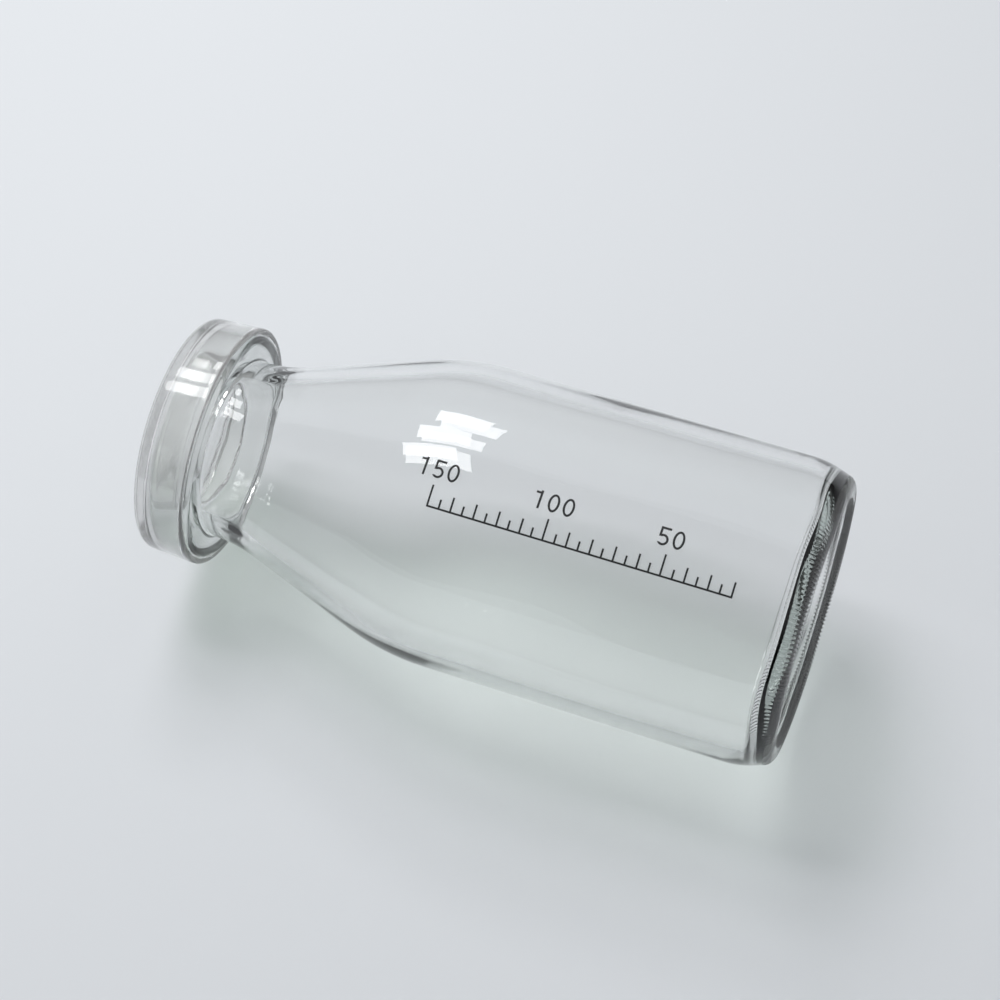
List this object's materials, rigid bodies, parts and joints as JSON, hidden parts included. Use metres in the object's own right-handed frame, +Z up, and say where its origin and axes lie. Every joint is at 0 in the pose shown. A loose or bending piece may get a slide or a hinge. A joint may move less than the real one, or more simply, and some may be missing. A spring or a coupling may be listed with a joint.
{
  "type": "glass milk bottle",
  "caption": "Clear glass milk bottle with a straight body, sloping shoulder, rounded lip and pushed-up base, closed by a clear push-on cap that pulls off along the axis.",
  "frame": {"origin": "centre of the ring that the bottle stands on", "axes": "+Z up along the bottle's axis towards the cap; the printed scale faces -Y"},
  "size_m": [0.059, 0.059, 0.1278],
  "materials": {
    "bottle_glass": "clear, faintly grey-green, fire-polished",
    "cap_plastic": "clear soft plastic, slightly hazy, glossy",
    "print_ink": "black fired print, satin"
  },
  "bodies": {
    "bottle": {"glass_bottle": "bottle_glass", "printed_scale": "print_ink"},
    "cap": {"snap_cap": "cap_plastic"}
  },
  "joints": [
    {"name": "cap_pull", "type": "slide", "parent": "bottle", "child": "cap", "axis": [0, 0, 1], "range_m": [0, 0.03]}
  ]
}
